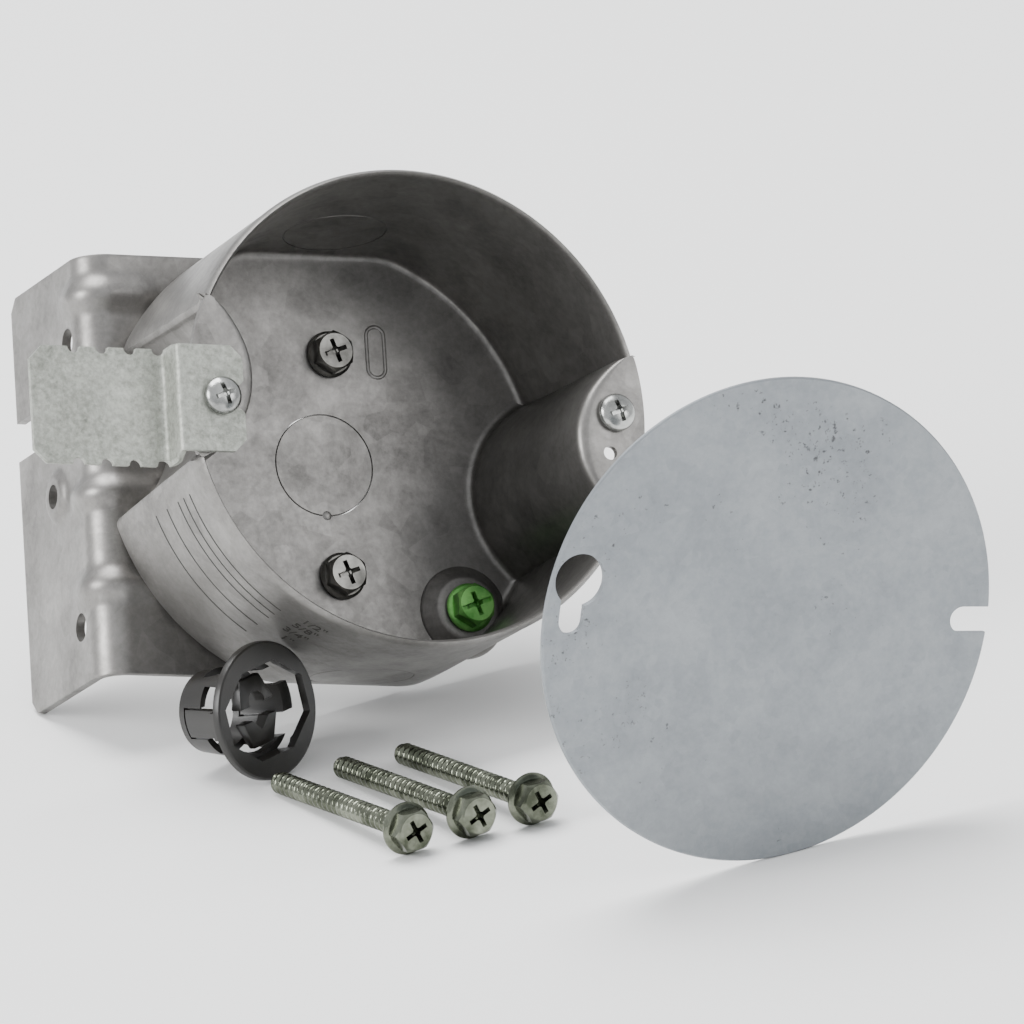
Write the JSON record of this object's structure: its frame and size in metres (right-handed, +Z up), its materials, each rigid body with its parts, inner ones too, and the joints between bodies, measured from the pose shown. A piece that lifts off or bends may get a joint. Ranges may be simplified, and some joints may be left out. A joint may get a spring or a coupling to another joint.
{
  "type": "ceiling junction box",
  "caption": "Round steel ceiling box on a bent joist bracket, with a depth tab, knockouts and a ground screw, beside its blank cover, cable connector and long mounting screws.",
  "frame": {"origin": "on the floor, under the middle of the whole set's bounding box", "axes": "+Z up from the floor; +X to the right and -Y towards a viewer who looks into the box's open side, which faces forward, up and a little to the right"},
  "size_m": [0.1998, 0.1982, 0.1156],
  "materials": {
    "galvanised_steel": "mottled galvanised, satin",
    "zinc_strip": "pale, finely grained zinc",
    "bright_zinc": "bright zinc plate",
    "dark_zinc": "dull zinc plate",
    "green_zinc": "green dyed zinc plate, semi-gloss",
    "cover_zinc": "bluish galvanised sheet with specks",
    "grey_zinc": "grey-green zinc plate, bright highlights",
    "black_plastic": "moulded, soft sheen"
  },
  "bodies": {
    "box": {"box_shell": "galvanised_steel", "bracket": "galvanised_steel"},
    "depth_tab": {"depth_tab": "zinc_strip"},
    "rim_screw_left": {"rim_screw_left": "bright_zinc"},
    "rim_screw_right": {"rim_screw_right": "bright_zinc"},
    "bracket_screw_upper": {"bracket_screw_upper": "dark_zinc"},
    "bracket_screw_lower": {"bracket_screw_lower": "dark_zinc"},
    "ground_screw": {"ground_screw": "green_zinc"},
    "knockout_back": {"knockout_back": "galvanised_steel"},
    "knockout_upper": {"knockout_upper": "galvanised_steel"},
    "knockout_lower": {"knockout_lower": "galvanised_steel"},
    "cover": {"cover": "cover_zinc"},
    "connector": {"connector_body": "black_plastic"},
    "connector_jaw_upper": {"connector_jaw_upper": "black_plastic"},
    "connector_jaw_lower": {"connector_jaw_lower": "black_plastic"},
    "connector_snap_tab_left": {"connector_snap_tab_left": "black_plastic"},
    "connector_snap_tab_right": {"connector_snap_tab_right": "black_plastic"},
    "mounting_screw_1": {"mounting_screw_1": "grey_zinc"},
    "mounting_screw_2": {"mounting_screw_2": "grey_zinc"},
    "mounting_screw_3": {"mounting_screw_3": "grey_zinc"}
  },
  "joints": [
    {"name": "rim_screw_left_out", "type": "slide", "parent": "box", "child": "rim_screw_left", "axis": [0.4051, -0.782, 0.4736], "range_m": [0, 0.0127]},
    {"name": "rim_screw_right_out", "type": "slide", "parent": "box", "child": "rim_screw_right", "axis": [0.4051, -0.782, 0.4736], "range_m": [0, 0.0127]},
    {"name": "bracket_screw_upper_out", "type": "slide", "parent": "box", "child": "bracket_screw_upper", "axis": [0.4051, -0.782, 0.4736], "range_m": [0, 0.0075]},
    {"name": "bracket_screw_lower_out", "type": "slide", "parent": "box", "child": "bracket_screw_lower", "axis": [0.4051, -0.782, 0.4736], "range_m": [0, 0.0075]},
    {"name": "ground_screw_out", "type": "slide", "parent": "box", "child": "ground_screw", "axis": [0.4051, -0.782, 0.4736], "range_m": [0, 0.0065]},
    {"name": "depth_tab_off", "type": "slide", "parent": "box", "child": "depth_tab", "axis": [-0.9135, -0.3255, 0.244], "range_m": [0, 0.02]},
    {"name": "knockout_back_swing", "type": "hinge", "parent": "box", "child": "knockout_back", "pos_m": [-0.03387, 0.05336, 0.03672], "axis": [0.9135, 0.3255, -0.244], "range_deg": [0, 75]},
    {"name": "knockout_upper_swing", "type": "hinge", "parent": "box", "child": "knockout_upper", "pos_m": [-0.03066, 0.08152, 0.0863], "axis": [0.9135, 0.3255, -0.244], "range_deg": [0, 50]},
    {"name": "knockout_lower_swing", "type": "hinge", "parent": "box", "child": "knockout_lower", "pos_m": [-0.03405, 0.03236, 0.00803], "axis": [-0.9135, -0.3255, 0.244], "range_deg": [0, 50]},
    {"name": "cover_lift", "type": "slide", "parent": "box", "child": "cover", "axis": [0, 0, 1], "range_m": [0, 0.1]},
    {"name": "connector_lift", "type": "slide", "parent": "box", "child": "connector", "axis": [0, -0.8, 0.6], "range_m": [0, 0.1]},
    {"name": "jaw_upper_swing", "type": "hinge", "parent": "connector", "child": "connector_jaw_upper", "pos_m": [-0.05337, 0.00114, 0.0212], "axis": [0.682, 0.7314, 0], "range_deg": [0, 45], "stiffness_Nm_per_rad": 0.02},
    {"name": "jaw_lower_swing", "type": "hinge", "parent": "connector", "child": "connector_jaw_lower", "pos_m": [-0.05149, -0.00062, 0.00663], "axis": [-0.682, -0.7314, 0], "range_deg": [0, 45], "stiffness_Nm_per_rad": 0.02},
    {"name": "snap_tab_right_flex", "type": "hinge", "parent": "connector", "child": "connector_snap_tab_right", "pos_m": [-0.05505, 0.01391, 0.01193], "axis": [0.127, -0.1184, -0.9848], "range_deg": [0, 8], "stiffness_Nm_per_rad": 0.1},
    {"name": "snap_tab_left_flex", "type": "hinge", "parent": "connector", "child": "connector_snap_tab_left", "pos_m": [-0.06623, 0.00192, 0.01193], "axis": [-0.127, 0.1184, 0.9848], "range_deg": [0, 8], "stiffness_Nm_per_rad": 0.1},
    {"name": "mounting_screw_1_lift", "type": "slide", "parent": "box", "child": "mounting_screw_1", "axis": [0, -0.8, 0.6], "range_m": [0, 0.1]},
    {"name": "mounting_screw_2_lift", "type": "slide", "parent": "box", "child": "mounting_screw_2", "axis": [0, -0.8, 0.6], "range_m": [0, 0.1]},
    {"name": "mounting_screw_3_lift", "type": "slide", "parent": "box", "child": "mounting_screw_3", "axis": [0, -0.8, 0.6], "range_m": [0, 0.1]}
  ]
}
